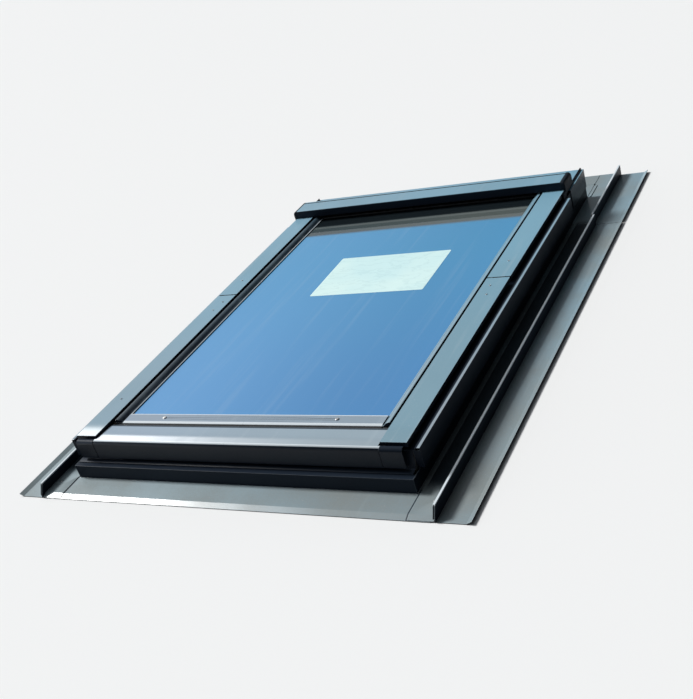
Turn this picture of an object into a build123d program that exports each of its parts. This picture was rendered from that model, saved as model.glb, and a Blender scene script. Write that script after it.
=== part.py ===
from build123d import *
import os
from math import atan2, cos, degrees, radians, sin, sqrt, tan

# Centre-pivot roof window with its flashing, lying in the roof's own plane.
# X runs to the right seen from outside, Y up the slope, Z out of the roof.
# The origin is the centre of the four bracket screw holes, in the plane of the roof deck.
# All sizes are millimetres.

os.makedirs("parts", exist_ok=True)

# Frame
frame_width = 759.0            # outer faces of the side timbers; 780 over the lips of the cladding
frame_length = 1178.0          # outer faces of the top and bottom timbers
frame_timber = 43.0            # width of the top and bottom timbers
side_timber = 32.5
frame_depth = 72.0             # height of the side timbers above the deck
top_timber_rise = 6.0          # the top timber stands higher, to carry the top cover
bottom_timber_step = 2.0       # and the bottom timber lower
ledge_depth = 32.0             # weathered outer ledge of the bottom timber
ledge_width = 20.0
ledge_fall = 1.5
ledge_slope = 8.0              # how far the face above the ledge leans back
timber_chamfer = 2.0

# Pivot
pivot_y = 20.0                 # the pivot lies a little above the middle
pivot_above_frame = 18.0       # and level with the faces of the side covers
sash_travel = 160.0            # degrees from closed to the cleaning position

# Sash
sash_gap = 8.0                 # side gap between sash and frame
sash_running_gap = 2.5         # least gap of the swinging bottom rail
vent_channel = 28.0            # gap above the top rail, closed by the flap
sash_under = 14.0              # underside of the sash above the deck
stile_width = 50.0
bottom_rail_width = 62.0
top_rail_width = 54.0
stile_upstand = 2.0            # upstand of the stiles beside the glass
rebate_edge = 19.0             # timber left outside the glass rebate of a stile

# Glass unit
pane = 4.0
cavity = 14.0
glass_below_cover = 13.0       # face of the glass below the faces of the side covers
glass_clearance = 4.0          # between pane edge and rebate
glass_bearing = 16.0           # pane edge on the top rail
glazing_tape = 3.0
tape_width = 14.0
spacer_width = 7.0
seal_width = 6.0
block_length = 60.0
block_thickness = 3.0

# Sheet covers
cover_sheet = 1.2
cover_rise = 17.0              # faces of the side covers above the frame timber
cover_inset = 6.5              # their outer edges inside the frame's outer faces
cover_width = 51.0
cover_outer_drop = 10.0
cover_inner_drop = 6.0
cover_seam = 4.0               # open seam at the pivot
cover_low_inset = 25.0         # their lower ends inside the frame's bottom face
cover_foot_inset = 12.0
lip_rise = 6.0
lip_width = 9.4
lip_reach = 13.9               # how far the lip stands outside the timber
lip_skirt = 40.0
lip_end_gap = 0.5              # end plate of the cladding to the timber
lip_hood_gap = 24.0            # the lip ends this far short of the hood

# Hood over the head of the sash
hood_length = 59.0
hood_over_channel = 10.0       # back of the hood from the top edge of the sash
hood_rise = 21.0               # top of the hood above the side covers
hood_gap = 1.2                 # front edge above the side covers
hood_nose = 3.0
hood_groove = 5.0              # groove along the back edge, and its depth
hood_groove_depth = 3.0
hood_back_strip = 5.0
cap_length = 6.0               # hood end inside the side covers' outer edges
cap_reach = 4.5                # cap outside the side covers' outer edges
cap_wall = 3.5
cap_shoulder = 2.5
cap_round = 4.0
cap_tongue = 22.0              # length of the cap's foot in front of the hood
cap_foot_height = 12.0
cap_tail_height = 5.0          # low strip of the cap behind the hood
cover_under_hood = 4.8
top_cover_reach = 3.1
top_cover_skirt = 46.0
cover_behind_hood = 19.0       # front edge of the top cover's sides behind the front of the hood
top_cover_back_reach = 5.6

# Glazing strips
bead_cover = 18.0              # width of glass that a side bead covers
bead_height = 10.5
bead_width = 17.0
bead_foot = 11.0               # foot of the bead lapping onto the stile
bead_lip = 2.2
strip_rail_lap = 35.0          # lower edge of the bottom strip above the rail's lower face
strip_width = 33.0
strip_height = 4.5
strip_clamp = 10.0
strip_gap = 11.0               # recess between the bottom strip and the sash's bottom cover
strip_gasket_height = 2.0
strip_screw_span = 0.67        # share of the strip's half length
strip_screw_head = 4.0
top_bead_lap = 18.0
top_bead_gap = 10.0            # from the back of the hood

# Sash bottom cover
nose_inset = 11.0              # front face of the cover's drop inside the frame's bottom face
nose_below_cover = 5.0
nose_radius = 6.0
drop_gap = 10.5                # lower edge of the drop above the ledge
drop_inset = 6.0               # ends of the drop inside the side covers' outer edges
drop_return = 6.0
cover_end_gap = 3.0

# Hinges with a curved track around the pivot line
track_radius = 70.0
shoe_thickness = 5.4
shoe_half_angle = 4.5
shoe_rest_angle = 9.9          # below the horizontal through the pivot
shoe_clearance = 0.35
shoe_end_clearance = 0.4
track_wall = 6.0
track_inner_wall = 14.0
track_plate = 4.4
sash_plate = 3.0
plate_gap = 0.6
hinge_screw_hole = 2.6
ear_drop = 50.0                # fixing ears below the pivot
ear_radius = 10.0
ear_half = 24.0

# Gaskets
gasket_drop = 10.0             # below the top of the frame timber
gasket_gap = 0.4               # left to the sash
gasket_break = 140.0           # the side runs stop this far from the pivot, clear of the hinge
gasket_end = 20.0
bulb_radius = 4.0

# Control bar, vent flap and latch in the vent channel
bar_inset = 39.0               # ends of the bar inside the sash
bar_below_sash = 4.0           # the bar's pivot below the sash underside
bar_pivot_out = 6.0            # distance of the bar's pivot from the top rail
bar_depth = 10.0
bar_width = 13.5
bar_offset = 5.6               # near edge of the bar beyond its pivot
bar_arm_span = 0.67            # share of the bar's half length
bar_arm_width = 14.0
bar_pin_radius = 2.5
bar_hub = 4.2
lug_thickness = 4.0
pin_clearance = 0.05
side_clearance = 0.5
flap_drop = 4.5                # flap below the top of the side timbers
flap_thickness = 3.0
flap_inset = 19.0
flap_pivot_out = 3.5
flap_pin_radius = 2.0
flap_pin_length = 6.5
flap_edge_gap = 1.5
filter_thickness = 3.0
filter_height = 14.0
filter_below_flap = 19.5
latch_above_sash = 24.0
latch_half = 12.0
latch_thickness = 6.0
latch_travel = 12.0
latch_reach = 6.0              # how far the thrown tongue enters the strike
latch_clearance = 0.5
latch_case_depth = 12.0
latch_case_half = 40.0
latch_case_rim = 6.0
strike_plate = 2.0
strike_rim = 12.0
strike_play = 2.0

# Barrel bolt on the right stile
bolt_below_top = 88.0          # distance of the bolt from the sash's top edge
bolt_radius = 4.0
bolt_drop = 5.5                # height of the bolt below the sash underside
bolt_length = 46.0
bolt_travel = 16.0
bolt_recess = 3.0
bolt_clearance = 0.08
bolt_case_wall = 1.7
bolt_knob_radius = 2.5
bush_clearance = 0.4
bush_wall = 1.8
bush_length = 13.0

# Flashing
flashing_sheet = 1.0
wall_offset = 3.1              # flashing wall to timber, leaving room for the brackets
wall_below_frame = 2.0
gutter_floor = 5.7             # mid line of the sheet above the deck
gutter_width = 57.0            # from the frame's face to the upright fold
fold_height = 27.0
fold_width = 3.0
flange_width = 66.0
flange_hem = 6.0               # height of the turned-up outer edge
flange_hem_width = 10.0
fold_slant = 14.0
seam_gap = 0.1                 # side pieces above the apron
wall_cut_back = 3.0            # cut of the wall behind the cladding's end plate
apron_offset = 5.5             # apron's upstand in front of the frame's bottom face
apron_length = 65.5
apron_hem = 12.0               # sloping front edge
apron_hem_rise = 4.0
apron_fold_rise = 2.5          # upper fold of the apron above the ledge
apron_fold_back = 14.0
apron_side_gap = 6.5           # apron's end inside the upright fold
seam_reach = 9.0               # the side pieces lie on the apron from here outwards
side_hood_gap = 15.0           # the side pieces end this far short of the hood
head_gap = 2.0
head_wall = 1.0
head_upstand_gap = 2.4
head_floor = 71.0
head_length = 139.0
head_fold_inset = 5.0          # the head piece's fold stands inside those of the side pieces
head_ridge = 2.3
head_welt = 1.6                # low welt along the seams of the saddle
head_ridge_half = 6.0

# Roof brackets
bracket_out = 35.5             # screw holes outside the frame's faces
bracket_inset = 189.0          # and inside its ends
bracket_sheet = 2.0
bracket_width = 60.0
bracket_height = 58.0
bracket_reach = 50.5
bracket_hole = 3.2
bracket_round = 8.0

# Worked out from the sizes above
half_w = frame_width / 2
half_l = frame_length / 2
inner_w = half_w - side_timber
inner_l = half_l - frame_timber
top_timber_depth = frame_depth + top_timber_rise
bottom_timber_depth = frame_depth - bottom_timber_step
ledge_y = half_l - ledge_width
half_sheet = cover_sheet / 2
half_fl = flashing_sheet / 2

cover_top = frame_depth + cover_rise
cover_outer = half_w - cover_inset
cover_inner = cover_outer - cover_width
cover_low_end = half_l - cover_low_inset
cladding_top = frame_depth + cover_sheet
lip_top = frame_depth + lip_rise

pivot_z = frame_depth + pivot_above_frame
sash_w = inner_w - sash_gap
sash_low = pivot_y - sqrt((pivot_y + inner_l - sash_running_gap) ** 2 - (pivot_z - sash_under) ** 2)
sash_high = inner_l - vent_channel
glass_top = cover_top - glass_below_cover
rail_top = glass_top
stile_top = glass_top + stile_upstand
rebate_w = sash_w - rebate_edge
glass_half = rebate_w - glass_clearance
glass_under = glass_top - 2 * pane - cavity
rebate_z = glass_under - glazing_tape
strip_lower = -sash_low - strip_rail_lap
strip_upper = strip_lower - strip_width
glass_low = -(strip_upper + strip_clamp)
glass_high = sash_high - top_rail_width + glass_bearing
bead_inner = glass_half - bead_cover
strip_screw_x = strip_screw_span * bead_inner
strip_screw_y = (strip_upper + strip_lower) / 2

hood_back = sash_high - hood_over_channel
hood_front = hood_back - hood_length
hood_top = cover_top + hood_rise
hood_foot = cover_top + hood_gap
hood_half = cover_outer - cap_length
cap_outer = cover_outer + cap_reach
cap_inner = cap_outer - cap_wall
top_cover_front = hood_front + cover_behind_hood
top_cover_half = half_w + top_cover_reach
top_cover_foot = top_timber_depth + cover_sheet - top_cover_skirt
side_lip_end = hood_front - lip_hood_gap
top_bead_end = hood_back - top_bead_gap

nose_y = half_l - nose_inset
nose_top = cover_top - nose_below_cover
drop_foot = ledge_depth + ledge_fall + drop_gap
drop_half = cover_outer - drop_inset
apron_fold_top = ledge_depth + apron_fold_rise
apron_upstand = half_l + apron_offset
apron_front = apron_upstand + apron_length
gutter_fold = half_w + gutter_width
apron_half = gutter_fold - apron_side_gap
flange_edge = gutter_fold + flange_width
seam_half = half_w + seam_reach
side_top_end = hood_front - side_hood_gap
head_upstand = half_l + head_upstand_gap
head_floor_end = half_l + head_floor
head_end = half_l + head_length
wall_top = frame_depth - wall_below_frame

bar_half = sash_w - bar_inset
bar_arm_x = bar_arm_span * bar_half
bar_pivot_z = sash_under - bar_below_sash
flap_z = frame_depth - flap_drop
flap_half = sash_w - flap_inset
latch_z = sash_under + latch_above_sash
gasket_z = frame_depth - gasket_drop
bolt_y = sash_high - bolt_below_top
bracket_x = half_w + bracket_out
bracket_y = half_l - bracket_inset


def save(part, name):
    """Label a finished piece and write it."""
    part.label = name
    export_step(part, f"parts/{name}.step")


def ribbon(points, thickness):
    """Outline of a folded sheet whose mid line is the given open polyline."""
    left, right = [], []
    h = thickness / 2
    for i, (x, y) in enumerate(points):
        before = points[max(i - 1, 0)]
        after = points[min(i + 1, len(points) - 1)]
        directions = []
        for a, b in ((before, (x, y)), ((x, y), after)):
            length = sqrt((b[0] - a[0]) ** 2 + (b[1] - a[1]) ** 2)
            if length > 0:
                directions.append(((b[0] - a[0]) / length, (b[1] - a[1]) / length))
        nx = -sum(d[1] for d in directions)
        ny = sum(d[0] for d in directions)
        size = sqrt(nx * nx + ny * ny)
        nx, ny = nx / size, ny / size
        reach = h / (-nx * directions[0][1] + ny * directions[0][0])
        left.append((x + nx * reach, y + ny * reach))
        right.append((x - nx * reach, y - ny * reach))
    return left + right[::-1]


def along_y(outline, y_from, y_to):
    """Extrude an outline drawn in X and Z between two Y positions."""
    with BuildPart() as body:
        with BuildSketch(Plane.XZ.offset(-y_to)):
            with BuildLine():
                Polyline(*outline, close=True)
            make_face()
        extrude(amount=y_to - y_from)
    return body.part


def along_x(outline, x_from, x_to):
    """Extrude an outline drawn in Y and Z between two X positions."""
    with BuildPart() as body:
        with BuildSketch(Plane.YZ.offset(x_from)):
            with BuildLine():
                Polyline(*outline, close=True)
            make_face()
        extrude(amount=x_to - x_from)
    return body.part


def block(x, y, z):
    """Outline-free box between pairs of coordinates, as (low, high)."""
    with BuildPart() as body:
        with Locations(((x[0] + x[1]) / 2, (y[0] + y[1]) / 2, (z[0] + z[1]) / 2)):
            Box(x[1] - x[0], y[1] - y[0], z[1] - z[0])
    return body.part


def pivot_turned(y, z, angle):
    """Where a point of the sash at (y, z) stands once the sash has turned by an angle."""
    a = radians(angle)
    dy, dz = y - pivot_y, z - pivot_z
    return pivot_y + dy * cos(a) + dz * sin(a), pivot_z - dy * sin(a) + dz * cos(a)


def save_pair(right, name):
    """Write the right-hand piece and its mirror image on the left."""
    save(right, f"{name}_right")
    with BuildPart() as left:
        mirror(right, about=Plane.YZ)
    save(left.part, f"{name}_left")


# Frame timbers: the sides run through, the top and bottom stand between them.
bolt_z = sash_under - bolt_drop
bolt_open_y, bolt_open_z = pivot_turned(bolt_y, bolt_z, sash_travel)
bush_outer = bolt_radius + bush_clearance + bush_wall
bush_places = ((bolt_y, bolt_z), (bolt_open_y, bolt_open_z))

for side, sign in (("left", -1), ("right", 1)):
    with BuildPart() as frame_side:
        add(block(sorted((sign * inner_w, sign * half_w)), (-half_l, half_l), (0, frame_depth)))
        inner_under = frame_side.edges().filter_by(Axis.Y).group_by(Axis.Z)[0]
        chamfer(inner_under.sort_by(Axis.X)[0 if sign > 0 else -1], timber_chamfer)
        # the outer part of each lower end drops to the weathered ledge
        with BuildSketch(Plane.YZ.offset(min(sign * inner_w, sign * half_w))):
            with BuildLine():
                Polyline((-half_l, ledge_depth), (-ledge_y, ledge_depth + ledge_fall),
                         (-ledge_y + ledge_slope, frame_depth), (-half_l, frame_depth), close=True)
            make_face()
        extrude(amount=side_timber, mode=Mode.SUBTRACT)
        if side == "right":
            for y, z in bush_places:
                with BuildSketch(Plane.YZ.offset(inner_w)):
                    with Locations((y, z)):
                        Circle(bush_outer)
                extrude(amount=bush_length, mode=Mode.SUBTRACT)
    save(frame_side.part, f"frame_{side}_timber")

strike_pocket = latch_reach + 2 * strike_play
strike_half = latch_thickness / 2 + strike_play
with BuildPart() as frame_top:
    add(block((-inner_w, inner_w), (inner_l, half_l), (0, top_timber_depth)))
    chamfer(frame_top.edges().filter_by(Axis.X).group_by(Axis.Z)[0].sort_by(Axis.Y)[0], timber_chamfer)
    # recess for the strike plate, with the pocket for the tongue behind it
    add(block((-latch_half - strike_rim, latch_half + strike_rim), (inner_l, inner_l + strike_plate),
              (latch_z - strike_half - 4, latch_z + strike_half + 4)), mode=Mode.SUBTRACT)
    add(block((-latch_half - strike_play, latch_half + strike_play), (inner_l, inner_l + strike_pocket),
              (latch_z - strike_half, latch_z + strike_half)), mode=Mode.SUBTRACT)
save(frame_top.part, "frame_top_timber")

with BuildPart() as frame_bottom:
    add(along_x([(-half_l, 0), (-inner_l, 0), (-inner_l, bottom_timber_depth),
                 (-ledge_y + ledge_slope, bottom_timber_depth),
                 (-ledge_y, ledge_depth + ledge_fall),
                 (-half_l, ledge_depth)], -inner_w, inner_w))
    chamfer(frame_bottom.edges().filter_by(Axis.X).group_by(Axis.Z)[0].sort_by(Axis.Y)[-1], timber_chamfer)
save(frame_bottom.part, "frame_bottom_timber")

# Sash timbers: stiles run through, rails stand between them; all are rebated for the glass.
for side, sign in (("left", -1), ("right", 1)):
    with BuildPart() as stile:
        add(along_y([(sign * x, z) for x, z in (
            (sash_w, sash_under), (sash_w, stile_top), (rebate_w, stile_top), (rebate_w, rebate_z),
            (sash_w - stile_width, rebate_z), (sash_w - stile_width, sash_under))],
            sash_low, sash_high))
        inner_under = stile.edges().filter_by(Axis.Y).group_by(Axis.Z)[0]
        chamfer(inner_under.sort_by(Axis.X)[0 if sign > 0 else -1], timber_chamfer)
    save(stile.part, f"sash_{side}_timber")

rail_half = rebate_w
with BuildPart() as sash_bottom:
    add(along_x([(sash_low, sash_under), (sash_low, rail_top), (glass_low - block_thickness, rail_top),
                 (glass_low - block_thickness, rebate_z), (sash_low + bottom_rail_width, rebate_z),
                 (sash_low + bottom_rail_width, sash_under)], -rail_half, rail_half))
    # the rail's ends are cut back to pass between the stiles
    for sign in (-1, 1):
        add(block(sorted((sign * (sash_w - stile_width), sign * rail_half)),
                  (sash_low, sash_low + bottom_rail_width), (sash_under, rebate_z)), mode=Mode.SUBTRACT)
    chamfer(sash_bottom.edges().filter_by(Axis.X).group_by(Axis.Z)[0].sort_by(Axis.Y)[-1], timber_chamfer)
save(sash_bottom.part, "sash_bottom_timber")

latch_slot = latch_thickness / 2 + latch_clearance
with BuildPart() as sash_top:
    add(along_x([(sash_high, sash_under), (sash_high, rail_top), (glass_high + block_thickness, rail_top),
                 (glass_high + block_thickness, rebate_z), (sash_high - top_rail_width, rebate_z),
                 (sash_high - top_rail_width, sash_under)], -rail_half, rail_half))
    for sign in (-1, 1):
        add(block(sorted((sign * (sash_w - stile_width), sign * rail_half)),
                  (sash_high - top_rail_width, sash_high), (sash_under, rebate_z)), mode=Mode.SUBTRACT)
    chamfer(sash_top.edges().filter_by(Axis.X).group_by(Axis.Z)[0].sort_by(Axis.Y)[0], timber_chamfer)
    add(block((-latch_half - latch_clearance, latch_half + latch_clearance),
              (sash_high - 6, sash_high), (latch_z - latch_slot, latch_z + latch_slot)),
        mode=Mode.SUBTRACT)
save(sash_top.part, "sash_top_timber")

# Insulating glass unit.
glass_y = (glass_low, glass_high)
save(block((-glass_half, glass_half), glass_y, (glass_top - pane, glass_top)), "outer_pane")
save(block((-glass_half, glass_half), glass_y, (glass_under, glass_under + pane)), "inner_pane")


def glass_ring(outer_inset, inner_inset):
    """Rectangular ring between the panes, set in from the glass edge."""
    centre = (glass_low + glass_high) / 2
    width, length = 2 * glass_half, glass_high - glass_low
    with BuildPart() as ring:
        with BuildSketch(Plane.XY.offset(glass_under + pane)):
            with Locations((0, centre)):
                Rectangle(width - 2 * outer_inset, length - 2 * outer_inset)
                Rectangle(width - 2 * inner_inset, length - 2 * inner_inset, mode=Mode.SUBTRACT)
        extrude(amount=cavity)
    return ring.part


save(glass_ring(0, seal_width), "edge_seal")
save(glass_ring(seal_width, seal_width + spacer_width), "spacer_bar")

with BuildPart() as tape:
    centre = (glass_low + glass_high) / 2
    with BuildSketch(Plane.XY.offset(rebate_z)):
        with Locations((0, centre)):
            Rectangle(2 * glass_half, glass_high - glass_low)
            Rectangle(2 * (glass_half - tape_width), glass_high - glass_low - 2 * tape_width, mode=Mode.SUBTRACT)
    extrude(amount=glazing_tape)
save(tape.part, "glazing_tape")

with BuildPart() as blocks:
    for sign in (-1, 1):
        middle = sign * glass_half * 2 / 3
        add(block((middle - block_length / 2, middle + block_length / 2), (glass_low - block_thickness, glass_low),
                  (rebate_z, glass_top - 1)))
save(blocks.part, "setting_blocks")

# Side beads: rounded profiles that hold the glass down and close the gap to the stile.
bead_z = glass_top
bead_crown = bead_z + bead_height
bead_outer = bead_inner + bead_width
with BuildPart() as bead:
    with BuildSketch(Plane.XZ.offset(-glass_high)):
        with BuildLine():
            Polyline((bead_inner, bead_z + bead_lip), (bead_inner, bead_z), (bead_outer, bead_z), (rebate_w, bead_z),
                     (rebate_w, stile_top), (bead_outer + bead_foot, stile_top),
                     (bead_outer + bead_foot, stile_top + cover_sheet), (bead_outer, stile_top + cover_sheet),
                     (bead_outer, bead_crown))
            Spline((bead_outer, bead_crown), (bead_outer - 5, bead_crown - 0.6), (bead_inner + 4, bead_z + bead_lip + 2),
                   (bead_inner, bead_z + bead_lip), tangents=((-1, 0.1), (-1, -0.1)))
        make_face()
    extrude(amount=glass_high + strip_lower)
save_pair(bead.part, "side_bead")

with BuildPart() as top_bead:
    add(along_x([(glass_high - top_bead_lap, bead_z), (top_bead_end, bead_z), (top_bead_end, bead_z + 3),
                 (glass_high - 4, bead_z + 5), (glass_high - top_bead_lap + 2, bead_z + 3)],
                -bead_inner, bead_inner))
save(top_bead.part, "top_bead")

with BuildPart() as strip:
    add(along_x([(-strip_lower, glass_top), (-strip_upper, glass_top), (-strip_upper, glass_top + 2),
                 (-strip_upper - 3, glass_top + strip_height), (-strip_lower + 3, glass_top + strip_height),
                 (-strip_lower, glass_top + 2.5)], -bead_inner, bead_inner))
    with Locations(*[Location((sign * strip_screw_x, -strip_screw_y, glass_top + strip_height)) for sign in (-1, 1)]):
        Hole(2.1)
save(strip.part, "bottom_glazing_strip")

with BuildPart() as strip_screws:
    for sign in (-1, 1):
        with Locations(Location((sign * strip_screw_x, -strip_screw_y, glass_top + strip_height))):
            Cylinder(strip_screw_head, 2.0, align=(Align.CENTER, Align.CENTER, Align.MIN))
            Cylinder(2.0, strip_height, align=(Align.CENTER, Align.CENTER, Align.MAX))
    fillet(strip_screws.edges().filter_by(GeomType.CIRCLE).group_by(Axis.Z)[-1], 1.2)
save(strip_screws.part, "glazing_strip_screws")

# Ribbed gasket in the recess between the bottom strip and the sash's bottom cover.
with BuildPart() as strip_gasket:
    edge_near = -strip_lower - 0.3
    edge_far = -strip_lower - strip_gap + 0.5
    add(block((-bead_inner, bead_inner), (edge_far, edge_near), (rail_top, rail_top + strip_gasket_height / 2)))
    for share in (0.15, 0.5, 0.85):
        rib_y = edge_far + share * (edge_near - edge_far)
        add(along_x([(rib_y - 1.2, rail_top), (rib_y + 1.2, rail_top), (rib_y + 0.4, rail_top + strip_gasket_height),
                     (rib_y - 0.4, rail_top + strip_gasket_height)], -bead_inner, bead_inner))
save(strip_gasket.part, "strip_gasket")

# Sash bottom cover: a sheet over the bottom rail with a rounded nose and a deep front drop.
cover_foot = sash_low + cover_foot_inset
with BuildPart() as bottom_cover:
    nose_mid = nose_y - half_sheet
    rear = strip_lower + strip_gap
    for half, start in ((cover_inner - cover_end_gap, rear), (drop_half, nose_y - nose_radius - 4.0)):
        rear_z = rail_top + 5.0
        start_z = rear_z + (nose_top - rear_z) * (start - rear) / (nose_mid - rear)
        with BuildSketch(Plane.YZ.offset(-half)):
            with BuildLine():
                path = FilletPolyline((-start, start_z - half_sheet), (-nose_mid, nose_top - half_sheet),
                                      (-nose_mid, drop_foot), (-nose_mid + drop_return, drop_foot),
                                      radius=[nose_radius, 1.5])
                offset(path, amount=cover_sheet, side=Side.RIGHT)
            make_face()
        extrude(amount=2 * half)
    # foot that stands on the bottom rail
    add(along_x([(cover_foot, rail_top), (cover_foot + cover_sheet, rail_top),
                 (cover_foot + cover_sheet, rail_top + 6.0), (cover_foot, rail_top + 6.0)],
                -rail_half + 8, rail_half - 8))
save(bottom_cover.part, "sash_bottom_cover")

# Wide side covers. The lower ones ride on the sash, the upper ones are fixed to the frame.
cover_mid = cover_top - cover_sheet / 2
inner_mid = cover_inner + cover_sheet / 2
outer_mid = cover_outer - cover_sheet / 2
cover_path = [(inner_mid, cover_top - cover_inner_drop), (inner_mid, cover_mid),
              (outer_mid, cover_mid), (outer_mid, cover_top - cover_outer_drop)]
cladding_top = frame_depth + cover_sheet

with BuildPart() as lower_cover:
    add(along_y(ribbon(cover_path, cover_sheet), -cover_low_end, pivot_y - cover_seam / 2))
    foot_x = rebate_w + 8.0
    add(along_y(ribbon([(foot_x, stile_top), (foot_x, cover_top - cover_sheet)], cover_sheet),
                sash_low + 2, pivot_y - cover_seam / 2 - 6))
    add(along_y([(cover_inner, cover_top - cover_inner_drop), (cover_inner, cover_top), (cover_outer, cover_top),
                 (cover_outer, cover_top - cover_outer_drop)], -cover_low_end, -cover_low_end + cover_sheet))
save_pair(lower_cover.part, "lower_side_cover")

with BuildPart() as upper_cover:
    add(along_y(ribbon(cover_path, cover_sheet), pivot_y + cover_seam / 2, hood_back - 6))
    foot_x = inner_w + 12.0
    add(along_y(ribbon([(foot_x, cladding_top), (foot_x, cover_top - cover_sheet)], cover_sheet),
                pivot_y + cover_seam / 2 + 90, hood_back - 6))
save_pair(upper_cover.part, "upper_side_cover")

# Side cladding of the frame, with the raised lip that stands outside the wide covers.
lip_outer = half_w + lip_reach
lip_inner = lip_outer - lip_width
with BuildPart() as cladding:
    add(along_y(ribbon([(inner_w + 1, frame_depth + half_sheet), (lip_inner + half_sheet, frame_depth + half_sheet),
                        (lip_inner + half_sheet, lip_top - half_sheet),
                        (lip_outer - half_sheet, lip_top - half_sheet),
                        (lip_outer - half_sheet, lip_top - lip_skirt)], cover_sheet),
                -cover_low_end, side_lip_end))
    add(block((inner_w + 1, half_w), (side_lip_end - 1, inner_l - 6), (frame_depth, cladding_top)))
    # end plate under the lip
    add(block((half_w + lip_end_gap, lip_outer), (-cover_low_end, -cover_low_end + cover_sheet),
              (lip_top - lip_skirt, frame_depth + half_sheet)))
save_pair(cladding.part, "side_cladding")

# Hood: folded sheet over the head of the sash, with a groove along its back.
groove_back = hood_back - hood_back_strip
groove_front = groove_back - hood_groove
hood_mid = hood_top - half_sheet
groove_z = hood_mid - hood_groove_depth
nose_cut = (hood_nose - half_sheet) * (1 - sqrt(0.5)) + half_sheet
hood_path = [(hood_front + half_sheet, hood_foot), (hood_front + half_sheet, hood_top - hood_nose),
             (hood_front + nose_cut, hood_top - nose_cut), (hood_front + hood_nose, hood_mid),
             (groove_front, hood_mid), (groove_front, groove_z), (groove_back, groove_z), (groove_back, hood_mid),
             (hood_back - half_sheet, hood_mid), (hood_back - half_sheet, top_timber_depth + cover_sheet)]
with BuildPart() as hood:
    add(along_x(ribbon(hood_path, cover_sheet), -hood_half, hood_half))
save(hood.part, "hood")

# Moulded end caps of the hood, rounded down to the lip of the side cladding.
with BuildPart() as cap:
    cap_seat = top_timber_depth + cover_sheet
    shoulder = hood_top - 0.5
    with BuildSketch(Plane.XZ.offset(-hood_back)):
        with BuildLine():
            Polyline((hood_half, hood_foot), (hood_half, shoulder), (hood_half + cap_shoulder, shoulder))
            Spline((hood_half + cap_shoulder, shoulder), (cap_outer, cap_seat + cap_foot_height / 2),
                   tangents=((1, 0), (0, -1)))
            Polyline((cap_outer, cap_seat + cap_foot_height / 2), (cap_outer, cap_seat), (cap_inner, cap_seat),
                     (cap_inner, hood_foot), (hood_half, hood_foot))
        make_face()
    extrude(amount=hood_back - hood_front)
    # the upper front corner follows the nose of the hood
    corner = cap_round * (1 - sqrt(0.5))
    with BuildSketch(Plane.YZ.offset(hood_half - 1)):
        with BuildLine():
            Polyline((hood_front + cap_round, shoulder), (hood_front + cap_round, shoulder + 1),
                     (hood_front - 1, shoulder + 1), (hood_front - 1, shoulder - cap_round),
                     (hood_front, shoulder - cap_round))
            ThreePointArc((hood_front, shoulder - cap_round), (hood_front + corner, shoulder - corner),
                          (hood_front + cap_round, shoulder))
        make_face()
    extrude(amount=cap_outer - hood_half + 2, mode=Mode.SUBTRACT)
    add(along_y([(cap_inner, cladding_top), (cap_outer, cladding_top), (cap_outer, cladding_top + cap_foot_height),
                 (cap_outer - 2, cladding_top + cap_foot_height + 2), (cap_inner, cladding_top + cap_foot_height + 2)],
                hood_front - cap_tongue, hood_front + 1))
    add(along_y([(cap_inner, cap_seat), (cap_outer - 0.5, cap_seat), (cap_outer - 0.5, cap_seat + cap_tail_height - 1.5),
                 (cap_outer - 2.0, cap_seat + cap_tail_height), (cap_inner, cap_seat + cap_tail_height)],
                hood_back - 1, half_l + 4))
save_pair(cap.part, "hood_cap")

# Top cover of the frame behind the hood, with wings that run forward beside it.
top_cover_z = top_timber_depth + half_sheet
top_cover_back = half_l + top_cover_back_reach
with BuildPart() as top_cover:
    add(along_x(ribbon([(hood_back - cover_under_hood, top_cover_z), (top_cover_back - half_sheet, top_cover_z),
                        (top_cover_back - half_sheet, top_cover_foot)], cover_sheet),
                -top_cover_half, top_cover_half))
    for sign in (-1, 1):
        add(block(sorted((sign * cap_inner, sign * top_cover_half)), (top_cover_front, hood_back),
                  (top_timber_depth, top_timber_depth + cover_sheet)))
        # turned-down edge that laps over the wall of the head piece
        add(block(sorted((sign * (top_cover_half - cover_sheet), sign * top_cover_half)),
                  (top_cover_front, top_cover_back), (top_cover_foot, top_timber_depth + cover_sheet)))
save(top_cover.part, "frame_top_cover")

# Cover of the frame's bottom timber, lapping over the apron's upper fold.
face_gap = half_sheet + 0.15
slope_foot_z = apron_fold_top + 3.6


def slope_y(z):
    """Mid line of the sheet that lies on the leaning face of the bottom timber."""
    rise = (z - ledge_depth - ledge_fall) / (frame_depth - ledge_depth - ledge_fall)
    return -ledge_y + ledge_slope * rise - face_gap


lap = [(slope_y(slope_foot_z), slope_foot_z), (-half_l + 6, apron_fold_top + 1.7)]
with BuildPart() as frame_bottom_cover:
    upper_z = frame_depth - 0.5
    add(along_x(ribbon([(slope_y(upper_z), upper_z)] + lap, cover_sheet), -half_w + 1, half_w - 1))
    upper_z = bottom_timber_depth + half_sheet
    add(along_x(ribbon([(-inner_l - 2, upper_z), (slope_y(upper_z), upper_z)] + lap, cover_sheet),
                -inner_w + 0.3, inner_w - 0.3))
save(frame_bottom_cover.part, "frame_bottom_cover")

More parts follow.
